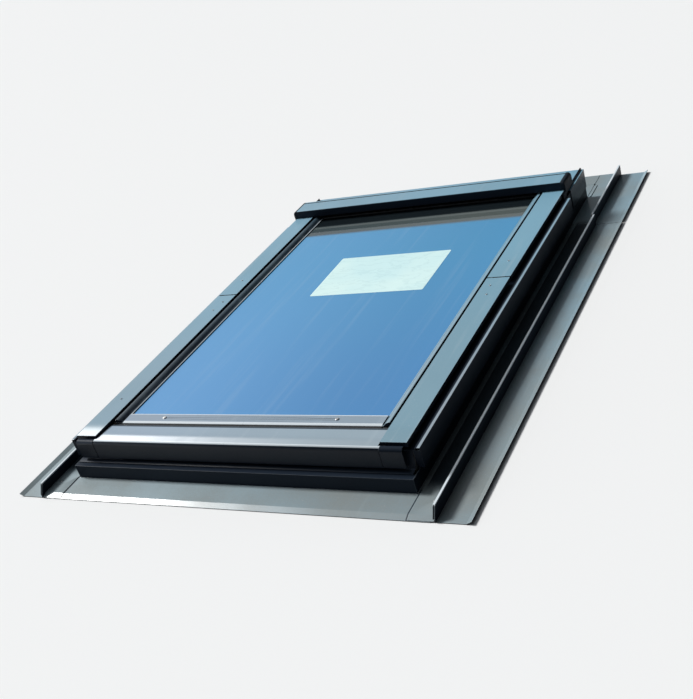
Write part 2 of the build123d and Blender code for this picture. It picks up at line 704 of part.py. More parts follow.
# Bulb gaskets between frame and sash: two runs each side and one along the bottom.
with BuildPart() as gaskets:
    reach = sash_gap - gasket_gap
    for sign in (-1, 1):
        for y in ((-inner_l + 6, pivot_y - gasket_break), (pivot_y + gasket_break, sash_high - gasket_end)):
            add(along_y([(sign * inner_w, gasket_z - 3), (sign * inner_w, gasket_z + 3),
                         (sign * (inner_w - reach), gasket_z + 1.5), (sign * (inner_w - reach), gasket_z - 1.5)], *y))
    with BuildSketch(Plane.YZ.offset(-inner_w + 10)):
        with Locations((-inner_l - 10, bottom_timber_depth + cover_sheet + bulb_radius)):
            Circle(bulb_radius)
    extrude(amount=2 * inner_w - 20)
save(gaskets.part, "frame_gaskets")

# Hinges: a track plate on the frame guides a curved shoe on the sash plate about the pivot line.
shoe_inner = track_radius - shoe_thickness / 2
shoe_outer = track_radius + shoe_thickness / 2
plate_top = cover_top - cover_sheet - 0.6


def ring_sector(inner, outer, angle_from, angle_to):
    """Sketch of a sector of a ring about the pivot; angles run down from the horizontal."""
    def at(radius, angle):
        return pivot_y + radius * cos(radians(angle)), pivot_z - radius * sin(radians(angle))

    middle = (angle_from + angle_to) / 2
    with BuildSketch() as sector:
        with BuildLine():
            ThreePointArc(at(outer, angle_from), at(outer, middle), at(outer, angle_to))
            Line(at(outer, angle_to), at(inner, angle_to))
            ThreePointArc(at(inner, angle_to), at(inner, middle), at(inner, angle_from))
            Line(at(inner, angle_from), at(outer, angle_from))
        make_face()
    return sector.sketch


track_out = inner_w
track_in = inner_w - track_plate
end_margin = degrees(shoe_end_clearance / track_radius)
track_start = shoe_rest_angle - shoe_half_angle - end_margin
track_end = shoe_rest_angle + sash_travel + shoe_half_angle + end_margin
ear_z = pivot_z - ear_drop
ear_centre = shoe_outer + track_wall + 2
with BuildPart() as track:
    with BuildSketch(Plane.YZ.offset(track_in)):
        add(ring_sector(shoe_inner - track_inner_wall, shoe_outer + track_wall, 0.5, 179.5))
        # fixing ears at both ends, and the flat upper edge under the covers
        with Locations((pivot_y - ear_centre, ear_z), (pivot_y + ear_centre, ear_z)):
            RectangleRounded(2 * ear_half, 2 * ear_radius, ear_radius - 1)
        with Locations((pivot_y, plate_top + 20)):
            Rectangle(4 * track_radius, 40, mode=Mode.SUBTRACT)
        add(ring_sector(shoe_inner - shoe_clearance, shoe_outer + shoe_clearance, track_start, track_end),
            mode=Mode.SUBTRACT)
    extrude(amount=track_plate)
    with BuildSketch(Plane.YZ.offset(track_in)):
        with Locations((pivot_y - ear_centre - 14, ear_z), (pivot_y + ear_centre + 14, ear_z)):
            Circle(hinge_screw_hole)
    extrude(amount=track_plate, mode=Mode.SUBTRACT)
save_pair(track.part, "hinge_track")

with BuildPart() as shoe_plate:
    with BuildSketch(Plane.YZ.offset(sash_w)):
        low = stile_top - 44
        y_in = pivot_y + shoe_inner - 14
        with BuildLine():
            FilletPolyline((y_in, low), (y_in + 66, low), (y_in + 66, low + 26), (y_in + 28, stile_top + 7.5),
                           (y_in + 8, stile_top + 7.5), (y_in, low + 20), close=True, radius=4.0)
        make_face()
        with Locations((y_in + 12, low + 10), (y_in + 54, low + 12)):
            Circle(hinge_screw_hole, mode=Mode.SUBTRACT)
    extrude(amount=sash_plate)
    with BuildSketch(Plane.YZ.offset(sash_w + sash_plate)):
        add(ring_sector(shoe_inner, shoe_outer, shoe_rest_angle - shoe_half_angle, shoe_rest_angle + shoe_half_angle))
    extrude(amount=sash_gap - sash_plate - plate_gap)
save_pair(shoe_plate.part, "hinge_shoe")

# Control bar in the vent channel, carried by two lugs on the top rail.
bar_axis_y = sash_high + bar_pivot_out
bar_y = (bar_axis_y + bar_offset, bar_axis_y + bar_offset + bar_width)
bar_z = (bar_pivot_z - 0.6 * bar_depth, bar_pivot_z + 0.4 * bar_depth)
with BuildPart() as bar:
    add(block((-bar_half, bar_half), bar_y, bar_z))
    fillet(bar.edges().filter_by(Axis.X), 3.0)
    for sign in (-1, 1):
        x0 = sign * bar_arm_x - bar_arm_width / 2
        with BuildSketch(Plane.YZ.offset(x0)):
            with Locations((bar_axis_y, bar_pivot_z)):
                Circle(bar_hub)
            with Locations((bar_axis_y + 4, bar_pivot_z - 0.5)):
                Rectangle(8, 5)
        extrude(amount=bar_arm_width)
        with BuildSketch(Plane.YZ.offset(x0 - 5)):
            with Locations((bar_axis_y, bar_pivot_z)):
                Circle(bar_pin_radius)
        extrude(amount=bar_arm_width + 10)
save(bar.part, "control_bar")

with BuildPart() as lugs:
    for sign in (-1, 1):
        for edge in (-1, 1):
            x0 = sign * bar_arm_x + edge * (bar_arm_width / 2 + side_clearance)
            x1 = x0 + edge * lug_thickness
            with BuildSketch(Plane.YZ.offset(min(x0, x1))):
                with BuildLine():
                    Polyline((bar_axis_y - 5, bar_pivot_z), (sash_high, sash_under + 2), (sash_high, sash_under + 18),
                             (bar_axis_y + 5, bar_pivot_z))
                    ThreePointArc((bar_axis_y + 5, bar_pivot_z), (bar_axis_y, bar_pivot_z - 5),
                                  (bar_axis_y - 5, bar_pivot_z))
                make_face()
                with Locations((bar_axis_y, bar_pivot_z)):
                    Circle(bar_pin_radius + pin_clearance, mode=Mode.SUBTRACT)
            extrude(amount=lug_thickness)
save(lugs.part, "control_bar_lugs")

# Vent flap that closes the channel above the top rail, with its two end bearings.
flap_axis_y = sash_high + flap_pivot_out
with BuildPart() as flap:
    flap_y = (flap_axis_y, inner_l - flap_edge_gap)
    add(block((-flap_half, flap_half), flap_y, (flap_z - flap_thickness / 2, flap_z + flap_thickness / 2)))
    with BuildSketch(Plane.YZ.offset(-flap_half)):
        with Locations((flap_axis_y, flap_z)):
            Circle(2.6)
    extrude(amount=2 * flap_half)
    with BuildSketch(Plane.YZ.offset(-flap_half - flap_pin_length)):
        with Locations((flap_axis_y, flap_z)):
            Circle(flap_pin_radius)
    extrude(amount=2 * (flap_half + flap_pin_length))
save(flap.part, "vent_flap")

with BuildPart() as flap_bearings:
    for sign in (-1, 1):
        x0 = sign * (flap_half + side_clearance)
        x1 = sign * (flap_half + flap_pin_length + 1)
        with BuildSketch(Plane.YZ.offset(min(x0, x1))):
            with Locations(((sash_high + flap_axis_y + 4) / 2, flap_z - 1)):
                Rectangle(flap_axis_y + 4 - sash_high, 12)
            with Locations((flap_axis_y, flap_z)):
                Circle(flap_pin_radius + pin_clearance, mode=Mode.SUBTRACT)
        extrude(amount=abs(x1 - x0))
save(flap_bearings.part, "vent_flap_bearings")

with BuildPart() as air_filter:
    for sign in (-1, 1):
        add(block(sorted((sign * (latch_case_half + 10), sign * (flap_half - 20))), (sash_high, sash_high + filter_thickness),
                  (flap_z - filter_below_flap, flap_z - filter_below_flap + filter_height)))
save(air_filter.part, "air_filter")

# Latch: a case on the top rail, a sliding tongue and the strike plate in the frame.
with BuildPart() as latch_case:
    add(block((-latch_case_half, latch_case_half), (sash_high, sash_high + latch_case_depth),
              (latch_z - latch_slot - latch_case_rim, latch_z + latch_slot + latch_case_rim)))
    fillet(latch_case.edges().filter_by(Axis.Y), 3.0)
    add(block((-latch_half - latch_clearance, latch_half + latch_clearance), (sash_high, sash_high + latch_case_depth),
              (latch_z - latch_slot, latch_z + latch_slot)), mode=Mode.SUBTRACT)
save(latch_case.part, "latch_case")

with BuildPart() as tongue:
    add(block((-latch_half, latch_half), (sash_high - 4, inner_l + latch_reach - latch_travel),
              (latch_z - latch_thickness / 2, latch_z + latch_thickness / 2)))
    chamfer(tongue.edges().filter_by(Axis.X).group_by(Axis.Y)[-1].sort_by(Axis.Z)[0], 2.5)
save(tongue.part, "latch_tongue")

with BuildPart() as strike:
    add(block((-latch_half - strike_rim, latch_half + strike_rim), (inner_l, inner_l + strike_plate),
              (latch_z - strike_half - 4, latch_z + strike_half + 4)))
    add(block((-latch_half - strike_play, latch_half + strike_play), (inner_l, inner_l + strike_plate),
              (latch_z - strike_half, latch_z + strike_half)), mode=Mode.SUBTRACT)
save(strike.part, "strike_plate")

# Barrel bolt under the right stile, with bushes for the closed and the cleaning position.
bolt_rest_end = sash_w - bolt_recess
with BuildPart() as bolt:
    with BuildSketch(Plane.YZ.offset(bolt_rest_end - bolt_length)):
        with Locations((bolt_y, bolt_z)):
            Circle(bolt_radius)
    extrude(amount=bolt_length)
    chamfer(bolt.edges().filter_by(GeomType.CIRCLE).sort_by(Axis.X)[-1], 1.0)
    with BuildSketch(Plane.XZ.offset(-bolt_y + 8)):
        with Locations((bolt_rest_end - 30, bolt_z)):
            Circle(bolt_knob_radius)
    extrude(amount=10)
save(bolt.part, "barrel_bolt")

with BuildPart() as bolt_case:
    add(block((bolt_rest_end - 42, bolt_rest_end - 4), (bolt_y - 8, bolt_y + 8), (bolt_z - bolt_radius - bolt_case_wall, sash_under)))
    fillet(bolt_case.edges().filter_by(Axis.X).group_by(Axis.Z)[0], 3.0)
    with BuildSketch(Plane.YZ.offset(bolt_rest_end - 42)):
        with Locations((bolt_y, bolt_z)):
            Circle(bolt_radius + bolt_clearance)
    extrude(amount=38, mode=Mode.SUBTRACT)
    # slot for the knob, on the side towards the middle of the sash
    add(block((bolt_rest_end - 33.5, bolt_rest_end - 26.5 + bolt_travel), (bolt_y - 9, bolt_y),
              (bolt_z - bolt_knob_radius - 0.4, bolt_z + bolt_knob_radius + 0.4)), mode=Mode.SUBTRACT)
save(bolt_case.part, "barrel_bolt_case")

with BuildPart() as bushes:
    for y, z in bush_places:
        with BuildSketch(Plane.YZ.offset(inner_w)):
            with Locations((y, z)):
                Circle(bush_outer)
                Circle(bolt_radius + bush_clearance, mode=Mode.SUBTRACT)
        extrude(amount=bush_length)
save(bushes.part, "barrel_bolt_bushes")

# Flashing. Apron below the frame: upstand with a folded top, sloping floor and front edge.
side_wall = half_w + wall_offset
apron_floor = gutter_floor - flashing_sheet
hem_top = half_fl + apron_hem_rise
apron_end = side_wall - half_fl
with BuildPart() as apron:
    add(along_x(ribbon([(-apron_upstand + apron_fold_back, apron_fold_top), (-apron_upstand, apron_fold_top),
                        (-apron_upstand, apron_floor), (-apron_front + apron_hem, hem_top),
                        (-apron_front, half_fl)], flashing_sheet), -apron_end, apron_end))
    for sign in (-1, 1):
        add(along_x(ribbon([(-apron_upstand, apron_floor), (-apron_front + apron_hem, hem_top),
                            (-apron_front, half_fl)], flashing_sheet),
                    *sorted((sign * (apron_end - 1), sign * apron_half))))
save(apron.part, "flashing_apron")

# Side pieces: wall against the frame, gutter, upright fold and outer flange.
fold_path = [(gutter_fold, gutter_floor), (gutter_fold, fold_height), (gutter_fold + fold_width, fold_height),
             (gutter_fold + fold_width, half_fl), (flange_edge - flange_hem_width, half_fl), (flange_edge, flange_hem)]
with BuildPart() as side_flashing:
    add(along_y(ribbon([(side_wall, wall_top), (side_wall, gutter_floor)] + fold_path, flashing_sheet),
                -apron_upstand, side_top_end))
    add(along_y(ribbon(fold_path, flashing_sheet), -apron_front + 1, -apron_upstand + 1))
    # floor that lies on the apron and follows its hem
    lift = flashing_sheet + seam_gap
    add(along_x(ribbon([(-apron_upstand + 1, gutter_floor), (-apron_front + apron_hem, hem_top + lift),
                        (-apron_front + 1, hem_top + lift - (apron_hem - 1) * apron_hem_rise / apron_hem)],
                       flashing_sheet), seam_half, gutter_fold))
    # the wall is cut down in front of the cladding's end plate
    add(block((side_wall - 2, side_wall + 2), (-apron_upstand - 1, -cover_low_end + wall_cut_back),
              (apron_fold_top + half_fl, frame_depth)), mode=Mode.SUBTRACT)
    # slanted lower end of the upright fold
    with BuildSketch(Plane.YZ.offset(gutter_fold - 1)):
        with BuildLine():
            Polyline((-apron_front, gutter_floor + 2), (-apron_front + fold_slant, fold_height + 1),
                     (-apron_front, fold_height + 1), close=True)
        make_face()
    extrude(amount=fold_width + 2, mode=Mode.SUBTRACT)
save_pair(side_flashing.part, "flashing_side")

# Head piece: upstand behind the frame, saddle, arms down both sides and the hidden upper flange.
head_wall_x = half_w + head_wall
head_start = side_top_end + head_gap
head_fold = gutter_fold - head_fold_inset
head_path = [(head_fold, gutter_floor), (head_fold, fold_height), (head_fold + fold_width, fold_height),
             (head_fold + fold_width, half_fl), (flange_edge - flange_hem_width, half_fl), (flange_edge, flange_hem)]
saddle_z = gutter_floor + flashing_sheet
with BuildPart() as head:
    for sign in (-1, 1):
        arm = [(head_wall_x, frame_depth + 0.3), (head_wall_x, gutter_floor)] + head_path
        add(along_y([(sign * x, z) for x, z in ribbon(arm, flashing_sheet)], head_start, head_upstand + half_fl))
        rear_arm = [(head_wall_x, gutter_floor)] + head_path
        add(along_y([(sign * x, z) for x, z in ribbon(rear_arm, flashing_sheet)], head_upstand, head_end))
        add(block(sorted((sign * (seam_half - 1.5), sign * (seam_half + 1.5))), (head_upstand, head_floor_end),
                  (gutter_floor, gutter_floor + half_fl + head_welt)))
    saddle = [(head_upstand, top_timber_depth - 1), (head_upstand, saddle_z), (head_floor_end, saddle_z),
              (head_floor_end + head_ridge_half, saddle_z + head_ridge),
              (head_floor_end + 2 * head_ridge_half, saddle_z), (head_end - 3, saddle_z)]
    add(along_x(ribbon(saddle, flashing_sheet), -head_wall_x - half_fl, head_wall_x + half_fl))
save(head.part, "flashing_head")

# Four roof brackets: one leg on the timber, one on the deck under the gutter.
for row, y in (("lower", -bracket_y), ("upper", bracket_y)):
    with BuildPart() as bracket:
        half_b = bracket_sheet / 2
        add(along_y(ribbon([(half_w + half_b, bracket_height), (half_w + half_b, half_b),
                            (half_w + bracket_reach, half_b)], bracket_sheet),
                    y - bracket_width / 2, y + bracket_width / 2))
        with Locations(Location((bracket_x, y, bracket_sheet))):
            Hole(bracket_hole, depth=2 * bracket_sheet)
        outer_edges = bracket.edges().filter_by(Axis.Z).group_by(Axis.X)[-1]
        fillet(outer_edges, bracket_round)
    save_pair(bracket.part, f"roof_bracket_{row}")
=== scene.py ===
import math
import bmesh
import bpy
from mathutils import Matrix, Vector


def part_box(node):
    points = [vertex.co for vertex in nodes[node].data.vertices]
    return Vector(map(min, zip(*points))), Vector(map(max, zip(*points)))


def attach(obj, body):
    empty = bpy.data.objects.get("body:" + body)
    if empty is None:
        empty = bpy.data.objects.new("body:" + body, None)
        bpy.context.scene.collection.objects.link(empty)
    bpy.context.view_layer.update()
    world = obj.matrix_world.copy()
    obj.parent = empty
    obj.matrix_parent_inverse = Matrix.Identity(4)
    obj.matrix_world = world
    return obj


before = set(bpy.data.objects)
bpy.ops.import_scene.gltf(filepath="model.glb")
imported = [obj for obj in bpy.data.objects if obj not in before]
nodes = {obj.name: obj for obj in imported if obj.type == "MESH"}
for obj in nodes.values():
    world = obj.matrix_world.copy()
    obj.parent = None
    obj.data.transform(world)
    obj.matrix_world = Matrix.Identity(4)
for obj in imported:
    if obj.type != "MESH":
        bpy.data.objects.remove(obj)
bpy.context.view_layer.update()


# Camera: the window is seen from below and from its right, as from a ladder beside it.
# The principal point lies low and left of the picture's middle, so the view is shifted a little.
def into_scene(name, data):
    """A new object for the data, linked to the scene."""
    made = bpy.data.objects.new(name, data)
    bpy.context.scene.collection.objects.link(made)
    return made


picture_width = 693
picture_height = 699
focal_pixels = 1026.5
principal_x = 329.5
principal_y = 415.5
camera_place = (1.1293, -1.7999, 1.0057)
heading = math.radians(35.68)
tilt = math.radians(-29.557)
roll = math.radians(-19.127)
sensor_width = 36.0
camera_data = bpy.data.cameras.new("camera")
camera_data.sensor_fit = "HORIZONTAL"
camera_data.sensor_width = sensor_width
camera_data.lens = focal_pixels * sensor_width / picture_width
camera_data.shift_x = (picture_width / 2 - principal_x) / picture_width
camera_data.shift_y = (principal_y - picture_height / 2) / picture_width
camera_data.clip_end = 100
camera = into_scene("camera", camera_data)
facing = Matrix.Rotation(heading, 4, "Z") @ Matrix.Rotation(math.pi / 2 + tilt, 4, "X")
facing = facing @ Matrix.Rotation(roll, 4, "Z")
camera.matrix_world = Matrix.Translation(camera_place) @ facing
bpy.context.scene.camera = camera
bpy.context.scene.view_settings.view_transform = "Standard"


# Floor and light: a plain pale floor, open inside the frame as a roof is, so that the sash can turn
# through it, with a soft key from the upper left and a weak dome. The floor looks pale only to the
# camera, in gloss and through glass, so that it throws little light upwards.
class Field:
    """A value or colour that varies over a surface; sums and products on it add Math nodes."""

    def __init__(self, tree, output=None):
        self.tree = tree
        self.output = output

    def node(self, kind, settings=None, sockets=None, out=0):
        """Any node: its type, its settings, then the values or links of its sockets."""
        made = self.tree.nodes.new(kind)
        for name, value in (settings or {}).items():
            setattr(made, name, value)
        for name, value in (sockets or {}).items():
            if isinstance(value, Field):
                self.tree.links.new(value.output, made.inputs[name])
            else:
                made.inputs[name].default_value = value
        return Field(self.tree, made.outputs[out])

    def maths(self, operation, *values):
        """A Math node on the values, or on this field if none are given."""
        return self.node("ShaderNodeMath", {"operation": operation}, dict(enumerate(values or (self,))))

    def __add__(self, other):
        return self.maths("ADD", self, other)

    def __radd__(self, other):
        return self.maths("ADD", other, self)

    def __sub__(self, other):
        return self.maths("SUBTRACT", self, other)

    def __rsub__(self, other):
        return self.maths("SUBTRACT", other, self)

    def __mul__(self, other):
        return self.maths("MULTIPLY", self, other)

    def __rmul__(self, other):
        return self.maths("MULTIPLY", other, self)


def between(value, low, high):
    """Soft step from 0 at low to 1 at high."""
    return value.node("ShaderNodeMapRange", {"interpolation_type": "SMOOTHSTEP"},
                      {"Value": value, "From Min": low, "From Max": high})


def blend(share, first, second):
    """The first colour where the share is 0, the second where it is 1."""
    return share.node("ShaderNodeMix", {"data_type": "RGBA"}, {0: share, 6: first, 7: second}, out=2)


def agreement(direction, other):
    """1 where the two directions are the same, 0 where they are square to each other."""
    return direction.node("ShaderNodeVectorMath", {"operation": "DOT_PRODUCT"}, {0: direction, 1: other},
                          out="Value")


def draw_out(work, faces, along):
    """Extrude the faces together and move them along a vector."""
    drawn_faces = bmesh.ops.extrude_face_region(work, geom=faces)
    corners = [part for part in drawn_faces["geom"] if isinstance(part, bmesh.types.BMVert)]
    bmesh.ops.translate(work, verts=corners, vec=along)


floor_reach = 20.0
floor_level = -0.0006
opening_half_width = 0.345
opening_half_length = 0.544
shaft_bottom = -0.8
floor_mesh = bpy.data.meshes.new("floor")
work = bmesh.new()
bmesh.ops.create_grid(work, x_segments=1, y_segments=1, size=floor_reach)
bmesh.ops.translate(work, verts=work.verts, vec=(0, 0, floor_level))
opening = work.faces[:]
bmesh.ops.inset_region(work, faces=opening, thickness=floor_reach / 2, use_boundary=True,
                       use_even_offset=True)
opening_share = (2 * opening_half_width / floor_reach, 2 * opening_half_length / floor_reach, 1)
bmesh.ops.scale(work, verts=opening[0].verts[:], vec=opening_share)
draw_out(work, opening, (0, 0, shaft_bottom - floor_level))
bmesh.ops.delete(work, geom=opening, context="FACES_ONLY")
work.to_mesh(floor_mesh)
work.free()
floor = into_scene("floor", floor_mesh)

floor_paint = bpy.data.materials.new("floor_paint")
floor_paint.use_nodes = True
paint_shader = floor_paint.node_tree.nodes["Principled BSDF"]
paint_shader.inputs["Roughness"].default_value = 0.9
paint_shader.inputs["Specular IOR Level"].default_value = 0.1
floor_dark = (0.05, 0.055, 0.06, 1)
floor_pale = (0.86, 0.87, 0.88, 1)
ray = Field(floor_paint.node_tree)
seen = ray.node("ShaderNodeLightPath", out="Is Camera Ray")
for kind_of_ray in ("Is Glossy Ray", "Is Transmission Ray"):
    seen = seen + ray.node("ShaderNodeLightPath", out=kind_of_ray)
floor_tone = blend(between(seen, 0.0, 1.0), floor_dark, floor_pale)
floor_paint.node_tree.links.new(floor_tone.output, paint_shader.inputs["Base Color"])
floor_mesh.materials.append(floor_paint)

key_from = (-0.71, 0.10, 0.70)
key_data = bpy.data.lights.new("key", "SUN")
key_data.energy = 3.6
key_data.angle = math.radians(14)
key_data.color = (1.0, 0.985, 0.96)
key = into_scene("key", key_data)
key.matrix_world = Vector(key_from).to_track_quat("Z", "Y").to_matrix().to_4x4()

dome_brightest_at = (-0.84, 0.15, 0.52)
dome_least = 0.03
dome_gain = 0.60
dome_seen = 0.9
dome = bpy.data.worlds.new("dome")
dome.use_nodes = True
bpy.context.scene.world = dome
sky = Field(dome.node_tree)
lean = agreement(sky.node("ShaderNodeTexCoord", out="Generated"), dome_brightest_at)
glow = between(lean, 0.15, 1.0) * dome_gain + dome_least
watched = sky.node("ShaderNodeLightPath", out="Is Camera Ray")
glow = glow * (1 - watched) + watched * dome_seen
backdrop = dome.node_tree.nodes["Background"]
backdrop.inputs["Color"].default_value = (0.90, 0.95, 1.0, 1)
dome.node_tree.links.new(glow.output, backdrop.inputs["Strength"])


# Roof brackets: four angles of zinc-plated steel, 2 mm thick, one leg on the frame's side and one on the
# deck. The plating is faintly clouded, brushed across the bend and a little brighter on its cut edges.
def new_finish(name, constants):
    """A material with its constant sockets set; gives it, its shader and the object's own coordinates."""
    material = bpy.data.materials.new(name)
    material.use_nodes = True
    shader = material.node_tree.nodes["Principled BSDF"]
    for socket, value in constants.items():
        shader.inputs[socket].default_value = value
    place = Field(material.node_tree).node("ShaderNodeTexCoord", out="Object")
    return material, shader, place


def feed(shader, varying):
    """Link the fields that vary over the surface to the shader."""
    for socket, field in varying.items():
        field.tree.links.new(field.output, shader.inputs[socket])


def stretched(place, factors):
    """The place with each direction multiplied by its own factor."""
    return place.node("ShaderNodeVectorMath", {"operation": "MULTIPLY"}, {0: place, 1: factors})


def mottle(place, scale, detail=3.0, stretch=(1.0, 1.0, 1.0)):
    """Noise over the piece, drawn out where a direction has a small factor."""
    return place.node("ShaderNodeTexNoise", {},
                      {"Vector": stretched(place, stretch), "Scale": scale, "Detail": detail})


def worn_edge(place, radius):
    """1 along folded and cut edges, 0 on open faces."""
    rounded = place.node("ShaderNodeBevel", {"samples": 4}, {"Radius": radius})
    plain = place.node("ShaderNodeNewGeometry", out="Normal")
    return between(1 - agreement(rounded, plain), 0.02, 0.22)


def bump(height, strength, depth, under=None):
    """Surface relief of the given depth in metres, laid over an earlier relief if there is one."""
    sockets = {"Height": height, "Strength": strength, "Distance": depth}
    if under:
        sockets["Normal"] = under
    return height.node("ShaderNodeBump", {}, sockets, out="Normal")


def plated_steel(name, grain, tone):
    """Zinc-plated or stainless steel, brushed along the direction with the smallest factor."""
    material, shader, place = new_finish(name, {"Metallic": 1.0})
    cloud = mottle(place, scale=22.0)
    brush = mottle(place, scale=40.0, detail=4.0, stretch=grain)
    edge = worn_edge(place, radius=0.0012)
    dull = tuple(0.72 * part for part in tone) + (1,)
    bright = tuple(min(1.0, 1.12 * part) for part in tone) + (1,)
    feed(shader, {
        "Base Color": blend(between(cloud + brush * 0.5 + edge * 0.5, 0.45, 1.15), dull, bright),
        "Roughness": 0.30 + cloud * 0.18 + brush * 0.10,
        "Normal": bump(brush, strength=0.35, depth=0.00006)})
    return material


def dress(names, material, edge=0.0003, curved=False):
    """Give solids their finish, and round their folded and cut edges a little."""
    for name in names:
        piece = nodes[name]
        for held in piece.material_slots:
            held.material = material
        if curved:
            piece.data.shade_smooth()
        weld = piece.modifiers.new("weld", "WELD")
        weld.merge_threshold = 0.00001
        rounding = piece.modifiers.new("edge", "BEVEL")
        rounding.width = edge
        rounding.segments = 2
        rounding.limit_method = "ANGLE"
        rounding.angle_limit = math.radians(35)
        rounding.harden_normals = curved


zinc = plated_steel("zinc_plate", grain=(1.0, 30.0, 30.0), tone=(0.66, 0.67, 0.69))
dress(["roof_bracket_lower_left", "roof_bracket_lower_right", "roof_bracket_upper_left",
       "roof_bracket_upper_right"], zinc, edge=0.0004)


# Frame timbers: four planed and clear-lacquered lengths of pine, the sides running through. Grain, growth
# rings, a few knots and fine pores follow the length of each timber. The faces that look out of the roof,
# under the covers and against the flashing, are primed dark grey; this dark also stands as painted shade
# where these faces show in the gaps between the covers.
def coordinate(place, axis):
    """One coordinate of a place, or one part of a direction."""
    return place.node("ShaderNodeSeparateXYZ", {}, {"Vector": place}, out=axis)


def upturned(place):
    """1 on faces that look straight out of the roof, 0 on upright walls."""
    return coordinate(place.node("ShaderNodeTexCoord", out="Normal"), "Z")


def scattered(place, scale):
    """Distance to the nearest of many scattered points."""
    return place.node("ShaderNodeTexVoronoi", {"feature": "F1"}, {"Vector": place, "Scale": scale},
                      out="Distance")


def planed_pine(name, along, frame_edge):
    """Clear-lacquered pine whose fibres run along X or along Y, primed dark on upturned faces and at the
    frame's outer edge, the dark also painted shade.
    """
    early_wood = (0.76, 0.55, 0.31, 1)
    late_wood = (0.52, 0.30, 0.13, 1)
    pore_brown = (0.42, 0.24, 0.11, 1)
    knot_brown = (0.24, 0.11, 0.045, 1)
    rubbed_edge = (0.84, 0.66, 0.42, 1)
    primer_and_shade_dark = (0.014, 0.018, 0.022, 1)
    primer_and_shade_grey = (0.030, 0.036, 0.042, 1)
    ring_density = 900.0
    ring_waver = 26.0
    primer_from, primer_full = 0.003, 0.001
    fibre = (2.0, 90.0, 90.0) if along == "X" else (90.0, 2.0, 90.0)
    slow = (0.10, 1.0, 1.0) if along == "X" else (1.0, 0.10, 1.0)

    material, shader, place = new_finish(name, {"Coat Weight": 0.25, "Coat Roughness": 0.25})
    wander = mottle(place, scale=9.0, detail=2.0, stretch=slow)
    drawn = stretched(place, slow)
    depth = place.node("ShaderNodeVectorMath", {"operation": "LENGTH"}, {0: drawn}, out="Value")
    ring = (depth * ring_density + wander * ring_waver).maths("SINE") * 0.5 + 0.5
    late = between(ring, 0.55, 1.0)
    pores = mottle(place, scale=10.0, detail=5.0, stretch=fibre)
    broad = mottle(place, scale=3.0, detail=2.0, stretch=slow)
    body = blend(late * (0.35 + broad * 0.5), early_wood, late_wood)
    body = blend(between(pores, 0.55, 0.78) * 0.35, body, pore_brown)
    knot = 1 - between(scattered(drawn, 4.0), 0.02, 0.075)
    body = blend(knot * 0.8, body, knot_brown)
    body = blend(worn_edge(place, radius=0.0025) * 0.4, body, rubbed_edge)
    # Upturned faces and the frame's outer faces take the dark primer, which also serves as painted shade in
    # the gaps.
    primer_and_shade = between(upturned(place), 0.5, 0.9)
    for axis, edge in (("X", frame_edge.x), ("Y", frame_edge.y)):
        aside = coordinate(place, axis).maths("ABSOLUTE")
        primed = between(aside, edge - primer_from, edge - primer_full)
        primer_and_shade = primer_and_shade.maths("MAXIMUM", primer_and_shade, primed)
    body = blend(primer_and_shade, body, blend(broad, primer_and_shade_dark, primer_and_shade_grey))
    feed(shader, {
        "Base Color": body,
        "Roughness": 0.38 + pores * 0.16 + broad * 0.08,
        "Normal": bump(pores + late * 0.6, strength=0.35, depth=0.00015)})
    return material


timber_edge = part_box("frame_right_timber")[1]
pine_upright = planed_pine("pine_upright", "Y", timber_edge)
pine_level = planed_pine("pine_level", "X", timber_edge)
dress(["frame_left_timber", "frame_right_timber"], pine_upright, edge=0.0010)
dress(["frame_top_timber", "frame_bottom_timber"], pine_level, edge=0.0010)

# Fittings let into the frame: hinge tracks of stamped steel, the latch's strike plate and the bolt's bushes.
# All are zinc-plated and brushed up the slope, with brighter edges where the plating is rubbed.
track_steel = plated_steel("track_steel", grain=(30.0, 1.0, 30.0), tone=(0.60, 0.61, 0.63))
dress(["hinge_track_left", "hinge_track_right", "strike_plate"], track_steel, edge=0.0003)
dress(["barrel_bolt_bushes"], track_steel, edge=0.0003, curved=True)


# Gaskets: extruded black rubber on the frame, two runs on each side and one along the bottom, for the
# closed sash to press on. Rubber is dull and slightly dusty, with fine lines from the die.
def black_rubber(name, tone):
    """Extruded rubber with die lines and a trace of dust."""
    material, shader, place = new_finish(name, {"Specular IOR Level": 0.35})
    dust = mottle(place, scale=60.0, detail=4.0)
    lines = mottle(place, scale=300.0, detail=2.0, stretch=(1.0, 0.05, 1.0))
    edge = worn_edge(place, radius=0.0012)
    dusted = tuple(part + 0.07 for part in tone) + (1,)
    feed(shader, {
        "Base Color": blend(between(dust + edge * 0.3, 0.45, 0.95) * 0.6, tone + (1,), dusted),
        "Roughness": 0.58 + dust * 0.25,
        "Normal": bump(lines + dust * 0.5, strength=0.3, depth=0.0001)})
    return material


rubber = black_rubber("gasket_rubber", tone=(0.022, 0.023, 0.025))
dress(["frame_gaskets"], rubber, edge=0.0005, curved=True)

# Sash timbers: the same lacquered pine, rebated for the glass.
# The stiles run through and the rails stand between them.
dress(["sash_left_timber", "sash_right_timber"], pine_upright, edge=0.0010)
dress(["sash_bottom_timber", "sash_top_timber"], pine_level, edge=0.0010)

# Glass unit: two panes with an aluminium spacer, butyl seal, foam tape and setting blocks under them.
# The inner pane stays nearly clear, with faint dust.
inner_glass, shader, place = new_finish("inner_glass", {"IOR": 1.5})
haze = mottle(place, scale=14.0, detail=4.0)
haze_deep = (0.30, 0.42, 0.42, 1)
haze_pale = (0.42, 0.52, 0.52, 1)
feed(shader, {
    "Base Color": blend(haze, haze_deep, haze_pale),
    "Alpha": 0.12 + between(haze, 0.5, 0.8) * 0.06,
    "Roughness": 0.03 + haze * 0.05})
dress(["inner_pane"], inner_glass, edge=0.0004)

